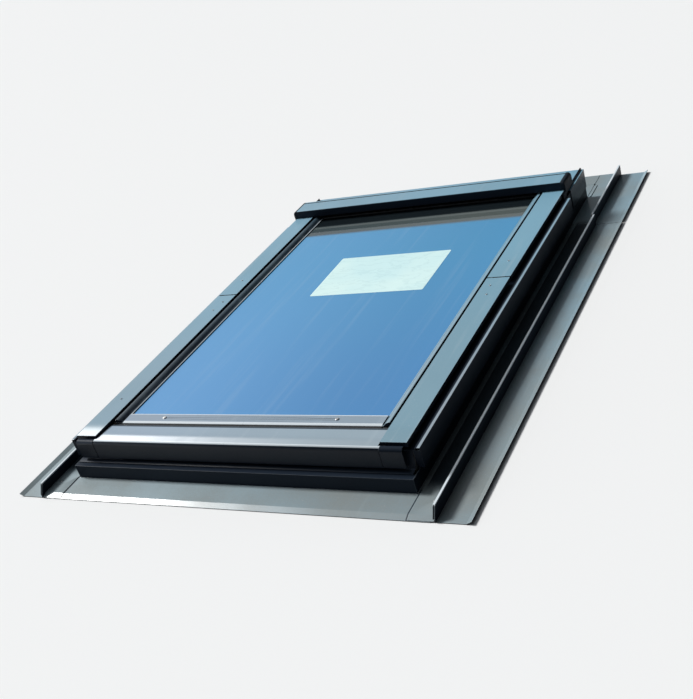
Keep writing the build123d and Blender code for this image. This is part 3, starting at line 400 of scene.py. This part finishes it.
spacer_metal, shader, place = new_finish("spacer_metal", {"Metallic": 1.0})
brushing = mottle(place, scale=60.0, detail=3.0, stretch=(1.0, 1.0, 20.0))
perforation = 1 - between(scattered(place, 260.0), 0.10, 0.22)
spacer_bare = (0.74, 0.75, 0.76, 1)
spacer_hole = (0.10, 0.10, 0.11, 1)
feed(shader, {
    "Base Color": blend(perforation * 0.8, spacer_bare, spacer_hole),
    "Roughness": 0.28 + brushing * 0.2,
    "Normal": bump(brushing - perforation, strength=0.3, depth=0.0001)})
dress(["spacer_bar"], spacer_metal, edge=0.0003)
butyl = black_rubber("butyl", tone=(0.014, 0.014, 0.015))
dress(["edge_seal", "glazing_tape", "setting_blocks"], butyl, edge=0.0003)

# The outer pane's colour is a painted reflection of the sky: pale blue low down, deeper to the right. Below
# the hood it is painted shade, dark with a greenish cast where the shaded head rail shows through, and darker
# still at the gap under the hood. Rain has left faint runs down the slope.
sky_reflection_low_left = (0.125, 0.385, 0.760, 1)
sky_reflection_low_right = (0.066, 0.270, 0.590, 1)
sky_reflection_high_left = (0.085, 0.380, 0.720, 1)
sky_reflection_high_right = (0.055, 0.325, 0.620, 1)
rain_run = (0.50, 0.66, 0.78, 1)
shaded_head_rail_left = (0.080, 0.110, 0.120, 1)
shaded_head_rail_right = (0.125, 0.150, 0.145, 1)
shaded_rail_line = (0.22, 0.25, 0.25, 1)
hood_gap_shade = (0.012, 0.018, 0.022, 1)
glass_left, glass_right = -0.30, 0.26
glass_foot, glass_head = -0.42, 0.34
hood_shadow = (0.342, 0.360)
line_begins = (0.392, 0.398)
line_ends = (0.402, 0.408)
gap_begins = (0.404, 0.412)
rail_reach = 0.28
outer_glass, shader, place = new_finish(
    "outer_glass", {"IOR": 1.5, "Coat Weight": 0.4, "Coat Roughness": 0.02})
across = coordinate(place, "X")
upward = coordinate(place, "Y")
runs = mottle(place, scale=6.0, detail=4.0, stretch=(9.0, 0.35, 1.0))
drift = mottle(place, scale=2.2, detail=2.0)
rightward = between(across, glass_left, glass_right)
sky_reflection_low = blend(rightward, sky_reflection_low_left, sky_reflection_low_right)
sky_reflection_high = blend(rightward, sky_reflection_high_left, sky_reflection_high_right)
painted_sky_reflection = blend(between(upward + drift * 0.12, glass_foot, glass_head), sky_reflection_low, sky_reflection_high)
painted_sky_reflection = blend(between(runs, 0.52, 0.80) * 0.10, painted_sky_reflection, rain_run)
# Painted shade below the hood, with a painted line of the head rail and darker painted shade at the gap.
shade = between(upward, *hood_shadow)
band = between(upward, *line_begins) * (1 - between(upward, *line_ends))
gap_shade = between(upward, *gap_begins)
painted_hood_shade = blend(between(across, -rail_reach, rail_reach), shaded_head_rail_left, shaded_head_rail_right)
painted_hood_shade = blend(gap_shade, painted_hood_shade, hood_gap_shade)
painted_hood_shade = blend(band * 0.6, painted_hood_shade, shaded_rail_line)
dirt_and_shade = mottle(place, scale=90.0, detail=4.0)
feed(shader, {
    "Base Color": blend(shade, painted_sky_reflection, painted_hood_shade),
    "Alpha": 0.88 - shade * 0.08 + gap_shade * 0.10,
    "Roughness": 0.035 + between(dirt_and_shade, 0.5, 0.8) * 0.10 + between(runs, 0.5, 0.8) * 0.05})
dress(["outer_pane"], outer_glass, edge=0.0005)

# A bare protective film, a little smaller than a sheet of writing paper, clings to the pane above its middle.
# It is thin white plastic with rounded corners, creased where it was smoothed down by hand.
film_width = 0.287
film_length = 0.189
film_thickness = 0.00018
film_corner = 0.004
film_across = 0.0295
film_upward = 0.1055
film_gap = 0.00004
film_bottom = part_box("outer_pane")[1].z + film_gap
film_mesh = bpy.data.meshes.new("pane_film")
work = bmesh.new()
bmesh.ops.create_grid(work, x_segments=1, y_segments=1, size=0.5)
bmesh.ops.scale(work, verts=work.verts, vec=(film_width, film_length, 1.0))
bmesh.ops.bevel(work, geom=work.verts[:], offset=film_corner, affect="VERTICES", segments=4, profile=0.5,
                material=-1)
draw_out(work, work.faces[:], (0, 0, film_thickness))
bmesh.ops.translate(work, verts=work.verts, vec=(film_across, film_upward, film_bottom))
bmesh.ops.recalc_face_normals(work, faces=work.faces)
work.to_mesh(film_mesh)
work.free()
film = into_scene("pane_film", film_mesh)
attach(film, "sash")
film_bright = (0.74, 0.97, 0.96, 1)
film_shaded = (0.64, 0.90, 0.93, 1)
film_plastic, shader, place = new_finish("film_plastic", {"IOR": 1.45})
crease = mottle(place, scale=16.0, detail=3.0, stretch=(1.0, 2.4, 1.0))
fold = 1 - between((crease - 0.5).maths("ABSOLUTE"), 0.0, 0.035)
soft = mottle(place, scale=7.0, detail=2.0)
feed(shader, {
    "Base Color": blend(between(soft, 0.35, 0.70) * 0.8 + fold * 0.2, film_bright, film_shaded),
    "Roughness": 0.28 + soft * 0.2,
    "Alpha": 0.97 - fold * 0.05,
    "Normal": bump(crease + fold * 0.25, strength=0.5, depth=0.0012)})
film_mesh.materials.append(film_plastic)


# Glazing beads: rounded lacquered profiles down both sides of the glass, a dark one along its head, and a
# flat bottom strip held by two domed screws of stainless steel, with a ribbed rubber gasket below it.
# Their satin lacquer has a fine orange peel and pale runs from the rain, as it has on the covers. The left
# bead is darkened with painted shade and has a painted highlight along its lip, and the strip's edges carry
# painted highlights.
def lacquered_sheet(name, right_tone, left_tone, dusty, rim=0.35, steep=(0.45, 0.80), reflected_sky=0.5,
                    bend=None, shade_zone=None, crest=None, shade_strips=()):
    """Satin lacquer on folded sheet, painted light on its tops and painted shade on its walls; its tone
    shifts from right to left as painted light and shade.

    Dusty says how much dust it has, rim how bright its edges are (wear and a painted highlight), and the
    next setting how much painted reflection of a cooler sky it takes up the slope. Steep says between which
    upward looks a face goes from painted shade on a wall to painted light on a top.
    Bend: below this line across the slope the sheet sinks softly to its front fold.
    The shade zone: between these two heights, or distances from the middle, the sheet goes from lit to
    painted shade.
    Crest: a painted highlight along a folded rim, near to far from its middle and from some distance aside.
    Strips of painted shade between two distances from the middle, from foot to head up the slope.
    """
    sky_reflection_tone = (0.180, 0.420, 0.580, 1)
    cloud_tone = tuple(0.80 * part for part in right_tone[:3]) + (1,)
    run_tone = (0.46, 0.55, 0.60, 1)
    dust_tone = (0.230, 0.245, 0.235, 1)
    speck_tone = (0.52, 0.56, 0.58, 1)
    strip_shade_tone = (0.010, 0.020, 0.034, 1)
    # Painted shade for upright walls, from the darker to the paler tone.
    wall_shade_deep = (0.007, 0.013, 0.026, 1)
    wall_shade_pale = (0.017, 0.026, 0.040, 1)
    edge_wear_and_highlight_tone = (0.62, 0.72, 0.78, 1)
    crest_highlight_tone = (0.78, 0.86, 0.92, 1)
    crest_softness = 0.0008
    aside_softness = 0.001
    left_side, right_side = -0.30, 0.30
    slope_foot, slope_head = -0.45, 0.15
    dust_full, dust_none = 0.004, 0.030
    gloss = 0.17 if bend else 0.10
    sheen = 0.25 if bend else 0.34

    material, shader, place = new_finish(
        name, {"IOR": 1.5, "Specular IOR Level": gloss, "Coat Roughness": 0.22})
    across = coordinate(place, "X")
    upward = coordinate(place, "Y")
    height = coordinate(place, "Z")
    aside = across.maths("ABSOLUTE")
    measures = {"aside": aside, "slope": upward, "height": height}
    cloud = mottle(place, scale=4.5, detail=4.0)
    runs = mottle(place, scale=11.0, detail=4.0, stretch=(6.0, 0.30, 2.0))
    specks = mottle(place, scale=480.0, detail=2.0)
    edge = worn_edge(place, radius=0.0014)
    # Painted light and shade: upturned faces take the pale tones and walls the painted shade, and the tone
    # shifts from left to right.
    lit_face = between(upturned(place), steep[0], steep[1])
    tone = blend(between(across, left_side, right_side), left_tone, right_tone)
    # A painted reflection of a cooler sky, blended in up the slope.
    tone = blend(between(upward, slope_foot, slope_head) * reflected_sky, tone, sky_reflection_tone)
    tone = blend(between(cloud, 0.35, 0.72) * 0.28, tone, cloud_tone)
    tone = blend(between(runs, 0.54, 0.76) * 0.16, tone, run_tone)
    settled = (1 - between(height, dust_full, dust_none)) * between(cloud + specks * 0.4, 0.45, 0.95)
    tone = blend(settled * dusty, tone, dust_tone)
    tone = blend(between(specks, 0.66, 0.74) * 0.35, tone, speck_tone)
    # Strips of painted shade, in gutters, laps and crevices.
    for strip in shade_strips:
        hem = (strip["far"] - strip["near"]) * 0.05
        dirt_and_shade = between(aside, strip["near"], strip["near"] + hem)
        dirt_and_shade = dirt_and_shade * (1 - between(aside, strip["far"] - hem, strip["far"]))
        dirt_and_shade = dirt_and_shade * between(upward, strip["foot"], strip["foot"] + strip["soft"])
        dirt_and_shade = dirt_and_shade * (1 - between(upward, strip["head"] - strip["soft"], strip["head"]))
        tone = blend(dirt_and_shade * 0.9, tone, strip_shade_tone)
    # Painted shade over a zone: it darkens the tone there and takes away the lit tops, the rim highlight and
    # the bend.
    painted_shade = 0.0
    if shade_zone:
        painted_shade = between(measures[shade_zone["along"]], shade_zone["lit_at"], shade_zone["painted_shade"])
        lit_face = lit_face * (1 - painted_shade)
    tone = blend(lit_face, blend(cloud, wall_shade_deep, wall_shade_pale), tone)
    # Bright edges, partly wear and partly a painted highlight that is stronger on lit tops.
    tone = blend(edge * (lit_face * 0.8 + 0.2) * rim, tone, edge_wear_and_highlight_tone)
    # A painted highlight along a folded rim.
    if crest:
        off = (measures[crest["along"]] - crest["middle"]).maths("ABSOLUTE")
        on_rim = between(off, crest["near"] - crest_softness, crest["near"])
        on_rim = on_rim * (1 - between(off, crest["far"], crest["far"] + crest_softness))
        least_aside = crest["least_aside"]
        on_rim = on_rim * between(aside, least_aside - aside_softness, least_aside + aside_softness)
        tone = blend(on_rim * (1 - painted_shade) * 0.85, tone, crest_highlight_tone)
    sheet = None
    if bend:
        sunk = upward.maths("SMOOTH_MAX", bend["line"] - upward, 0.0, bend["softness"])
        sheet = bump(sunk * (1 - painted_shade) * -bend["fall"], strength=1.0, depth=1.0)
    orange_peel = mottle(place, scale=620.0, detail=1.0)
    waves = mottle(place, scale=5.0, detail=2.0)
    feed(shader, {
        "Base Color": tone,
        "Roughness": sheen + cloud * 0.10 + between(runs, 0.5, 0.8) * 0.08 + settled * 0.2,
        "Normal": bump(orange_peel * 0.10 + waves, strength=0.25, depth=0.0008, under=sheet)})
    if not bend:
        feed(shader, {"Coat Weight": lit_face * (0.75 - settled * 0.3)})
    return material


# Painted light and shade: the right bead takes the lit tone and the left bead the painted shade.
bead_lit_right_tone = (0.250, 0.360, 0.430, 1)
bead_shaded_left_tone = (0.036, 0.050, 0.068, 1)
# A painted highlight along the lip of the left bead.
lip_highlight = dict(along="height", middle=0.0783, near=0.0, far=0.0002, least_aside=0.0)
for side, crest, reflected_sky in (("left", lip_highlight, 0.1), ("right", None, 0.5)):
    bead_lacquer = lacquered_sheet("bead_lacquer_" + side, bead_lit_right_tone, bead_shaded_left_tone, dusty=0.20,
                                   steep=(0.55, 0.95), reflected_sky=reflected_sky, crest=crest)
    dress(["side_bead_" + side], bead_lacquer, edge=0.0004, curved=True)
strip_low, strip_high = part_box("bottom_glazing_strip")
strip_middle = (strip_low.y + strip_high.y) / 2
# The strip's bright edges and the bands along them are painted highlights.
strip_lacquer = lacquered_sheet(
    "strip_lacquer", right_tone=(0.270, 0.345, 0.420, 1), left_tone=(0.300, 0.370, 0.460, 1), dusty=0.10,
    rim=1.0, crest=dict(along="slope", middle=strip_middle, near=0.0118, far=0.0200, least_aside=0.0))
dress(["bottom_glazing_strip"], strip_lacquer, edge=0.0004)
dress(["strip_gasket"], rubber, edge=0.0002)
head_bead, shader, place = new_finish("head_bead", {"IOR": 1.5})
speck = mottle(place, scale=160.0, detail=3.0)
head_bead_dark = (0.016, 0.018, 0.020, 1)
head_bead_dusty = (0.05, 0.055, 0.06, 1)
dusting = between(speck, 0.4, 0.8) + worn_edge(place, radius=0.001) * 0.4
feed(shader, {
    "Base Color": blend(dusting, head_bead_dark, head_bead_dusty),
    "Roughness": 0.24 + speck * 0.2,
    "Normal": bump(speck, strength=0.2, depth=0.00008)})
dress(["top_bead"], head_bead, edge=0.0003)
screw_steel = plated_steel("screw_steel", grain=(8.0, 8.0, 8.0), tone=(0.70, 0.70, 0.70))
dress(["glazing_strip_screws"], screw_steel, edge=0.0002, curved=True)

# Moving fittings of the sash: hinge shoes, the latch in its case, and the barrel bolt under the right stile.
# They are zinc-plated; the bolt and the tongue are turned and milled bright.
dress(["hinge_shoe_left", "hinge_shoe_right"], track_steel, edge=0.0003)
dress(["latch_case", "barrel_bolt_case"], zinc, edge=0.0004)
bright_steel = plated_steel("bright_steel", grain=(1.0, 25.0, 25.0), tone=(0.74, 0.74, 0.75))
dress(["latch_tongue"], bright_steel, edge=0.0004)
dress(["barrel_bolt"], bright_steel, edge=0.0003, curved=True)


# Control bar and vent flap: drawn aluminium, satin anodised, the bar on pins in two pairs of lugs and the
# flap in two end bearings. A strip of open grey foam in the vent channel keeps insects and dust out.
def anodised(name):
    """Drawn aluminium with long die lines and a satin anodised skin."""
    skin_grey = (0.62, 0.63, 0.64, 1)
    skin_bright = (0.86, 0.87, 0.88, 1)
    material, shader, place = new_finish(name, {"Metallic": 1.0})
    lines = mottle(place, scale=30.0, detail=4.0, stretch=(0.15, 30.0, 30.0))
    touch = mottle(place, scale=8.0, detail=3.0)
    edge = worn_edge(place, radius=0.0015)
    feed(shader, {
        "Base Color": blend(between(lines + edge * 0.6, 0.35, 1.1), skin_grey, skin_bright),
        "Roughness": 0.30 + lines * 0.12 + between(touch, 0.5, 0.7) * 0.08,
        "Normal": bump(lines, strength=0.3, depth=0.00005)})
    return material


satin_aluminium = anodised("satin_aluminium")
dress(["control_bar", "control_bar_lugs"], satin_aluminium, edge=0.0005, curved=True)
dress(["vent_flap", "vent_flap_bearings"], satin_aluminium, edge=0.0003)
foam, shader, place = new_finish("open_foam", {"Specular IOR Level": 0.2})
cells = scattered(place, 900.0)
soil = mottle(place, scale=40.0, detail=3.0)
foam_dark = (0.05, 0.05, 0.052, 1)
foam_grey = (0.17, 0.17, 0.175, 1)
feed(shader, {
    "Base Color": blend(between(cells, 0.2, 0.7), foam_dark, foam_grey),
    "Roughness": 0.85 + soil * 0.1,
    "Normal": bump(cells + soil * 0.3, strength=0.8, depth=0.0006)})
dress(["air_filter"], foam, edge=0.0004)

# Covers of sash and frame, aluminium sheet 1.2 mm thick, folded and lacquered a satin blue-grey, its blue
# partly a painted sky reflection: wide side covers, the frame's top cover, and the sash's bottom cover with
# its rounded nose. The cladding's raised lips are darkened with painted shade except near their outer edge,
# and the frame's bottom cover is a dark sheet of painted shade.
# Painted light and shade: the left covers take a lighter tone than the right ones.
cover_right_tone = (0.215, 0.355, 0.440, 1)
cover_left_tone = (0.270, 0.385, 0.470, 1)
cover_lacquer = lacquered_sheet("cover_lacquer", cover_right_tone, cover_left_tone, dusty=0.35,
                                bend=dict(line=-0.522, fall=0.36, softness=0.030))
dress(["lower_side_cover_left", "lower_side_cover_right", "upper_side_cover_left", "upper_side_cover_right",
       "frame_top_cover"], cover_lacquer, edge=0.00035)
# The nose has a painted highlight on its rim, painted shade where it runs under the side covers' ends, and a
# strip of painted shade in the crevice behind the glazing strip.
nose_lacquer = lacquered_sheet(
    "nose_lacquer", right_tone=(0.320, 0.410, 0.480, 1), left_tone=(0.330, 0.420, 0.520, 1), dusty=0.20,
    rim=0.2, steep=(0.82, 0.92), bend=dict(line=-0.548, fall=0.50, softness=0.014),
    shade_zone=dict(along="aside", lit_at=0.3225, painted_shade=0.3240),
    crest=dict(along="slope", middle=-0.5722, near=0.0, far=0.0022, least_aside=0.0),
    shade_strips=[dict(near=-0.1, far=1.0, foot=-0.5200, head=-0.5100, soft=0.0015)])
dress(["sash_bottom_cover"], nose_lacquer, edge=0.0003)
lip_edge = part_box("side_cladding_right")[1].x
cladding_tone = (0.300, 0.370, 0.430, 1)
# Painted shade of the covers on the cladding's lips, all but their outer edge.
shaded_lacquer = lacquered_sheet("shaded_lacquer", cladding_tone, cladding_tone, dusty=0.20, rim=0.5,
                               shade_zone=dict(along="aside", lit_at=lip_edge - 0.0050, painted_shade=lip_edge - 0.0060))
dress(["side_cladding_left", "side_cladding_right"], shaded_lacquer, edge=0.00035)
# The frame's bottom cover is a dark sheet of painted shade, dark on every face.
shaded_ledge_lacquer = lacquered_sheet(
    "shaded_ledge_lacquer", right_tone=(0.018, 0.030, 0.042, 1), left_tone=(0.030, 0.045, 0.058, 1), dusty=0.20,
    rim=0.1, steep=(1.5, 2.0))
dress(["frame_bottom_cover"], shaded_ledge_lacquer, edge=0.00035)


# Each wide cover is held by small screws beside the seam at the pivot line, the left one also near its
# lower end. They have low round heads with a sunk drive, dark chromated, and stand on the sheet.
def round_heads(name, places, radius, height, sunk):
    """Low round heads, one at each place, with a sunk drive or closed like a rivet."""
    crown_radius = radius * 0.88
    dome_depth = height * 0.55
    drive_rim = radius * 0.28
    mesh = bpy.data.meshes.new(name)
    heads = bmesh.new()
    for spot in places:
        middle = Matrix.Translation(Vector(spot) + Vector((0, 0, height / 2)))
        made = bmesh.ops.create_cone(heads, cap_ends=True, segments=20, radius1=radius, radius2=crown_radius,
                                     depth=height, matrix=middle)
        faces = {face for vert in made["verts"] for face in vert.link_faces}
        crown = max(faces, key=lambda face: face.calc_center_median().z)
        bmesh.ops.bevel(heads, geom=crown.edges[:], offset=dome_depth, affect="EDGES", segments=3,
                        profile=0.5, material=-1)
        faces = [face for face in heads.faces
                 if (face.calc_center_median().xy - Vector(spot).xy).length < radius]
        crown = max(faces, key=lambda face: face.calc_center_median().z)
        if sunk:
            bmesh.ops.inset_region(heads, faces=[crown], thickness=drive_rim, use_even_offset=True)
            bmesh.ops.translate(heads, verts=crown.verts[:], vec=(0, 0, -dome_depth))
    bmesh.ops.recalc_face_normals(heads, faces=heads.faces)
    heads.to_mesh(mesh)
    heads.free()
    return into_scene(name, mesh)


dark_steel = plated_steel("dark_steel", grain=(8.0, 8.0, 8.0), tone=(0.34, 0.39, 0.43))
screw_radius = 0.0026
screw_height = 0.0012
screw_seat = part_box("lower_side_cover_right")[1].z - 0.0001
seam_screws = ((0.345, -0.0535), (0.340, -0.015))
foot_screw = (-0.3515, -0.4310)
upper_screw = (0.347, 0.0935)
sash_places = [(side * x, y, screw_seat) for side in (-1, 1) for x, y in seam_screws]
sash_places.append((foot_screw[0], foot_screw[1], screw_seat))
sash_screws = round_heads("cover_screws_sash", sash_places, screw_radius, screw_height, sunk=True)
sash_screws.data.materials.append(dark_steel)
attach(sash_screws, "sash")
frame_places = [(side * upper_screw[0], upper_screw[1], screw_seat) for side in (-1, 1)]
frame_screws = round_heads("cover_screws_frame", frame_places, screw_radius, screw_height, sunk=True)
frame_screws.data.materials.append(dark_steel)
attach(frame_screws, "frame")

# Hood: folded sheet over the head of the sash, with a crisp front fold and a groove along its back.
# It is lacquered like the covers, and its walls below the top face are darkened with painted shade.
hood_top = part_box("hood")[1].z
hood_lacquer = lacquered_sheet("hood_lacquer", cover_right_tone, cover_left_tone, dusty=0.35,
                               shade_zone=dict(along="height", lit_at=hood_top - 0.0010, painted_shade=hood_top - 0.0020))
dress(["hood"], hood_lacquer, edge=0.0004)

# End caps of the hood: moulded grey plastic with a fine grain, clipped over the ends of the hood.
# Their outer shoulders are rounded down to the lips of the cladding.
cap_dark = (0.010, 0.016, 0.025, 1)
cap_chalky = (0.026, 0.034, 0.044, 1)
cap_plastic, shader, place = new_finish("cap_plastic", {"IOR": 1.46, "Specular IOR Level": 0.12})
grain = mottle(place, scale=520.0, detail=3.0)
chalk = mottle(place, scale=24.0, detail=3.0)
weathering = between(chalk, 0.35, 0.75) * 0.6 + worn_edge(place, radius=0.0015) * 0.5
feed(shader, {
    "Base Color": blend(weathering, cap_dark, cap_chalky),
    "Roughness": 0.50 + grain * 0.15,
    "Normal": bump(grain, strength=0.4, depth=0.0002)})
dress(["hood_cap_left", "hood_cap_right"], cap_plastic, edge=0.0005, curved=True)

# Flashing: apron, side gutters and head piece of lacquered aluminium sheet 1 mm thick, folded on a press.
# It lies on the deck round the frame, and its side pieces lap over the apron. Painted shade darkens the
# gutters beside the frame and the laps.
gutter_shade = dict(near=0.392, far=0.4365, foot=-0.595, head=0.460, soft=0.04)
lap_shade = dict(near=0.3850, far=0.3886, foot=-0.670, head=-0.583, soft=0.003)
# Painted light and shade: lighter on the left, darker on the right; painted shade on all that stands above 3
# cm, and a painted highlight along the tops of the outer folds.
flashing_lacquer = lacquered_sheet(
    "flashing_lacquer", right_tone=(0.245, 0.325, 0.370, 1), left_tone=(0.350, 0.450, 0.500, 1), dusty=0.75,
    rim=0.8, reflected_sky=0.3, shade_zone=dict(along="height", lit_at=0.029, painted_shade=0.031),
    crest=dict(along="height", middle=0.0268, near=0.0, far=0.0012, least_aside=0.428),
    shade_strips=[gutter_shade, lap_shade])
dress(["flashing_apron", "flashing_side_left", "flashing_side_right", "flashing_head"], flashing_lacquer,
      edge=0.0003)

# Blind rivets of stainless steel hold each side piece to the apron near its outer corner.
# Their closed heads stand on the upper sheet.
rivet_radius = 0.0024
rivet_height = 0.0011
rivet_aside = 0.4215
rivet_slope = -0.6120
apron_face = 0.0061
rivet_places = [(side * rivet_aside, rivet_slope, apron_face) for side in (-1, 1)]
rivets = round_heads("apron_rivets", rivet_places, rivet_radius, rivet_height, sunk=False)
rivets.data.materials.append(screw_steel)
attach(rivets, "frame")
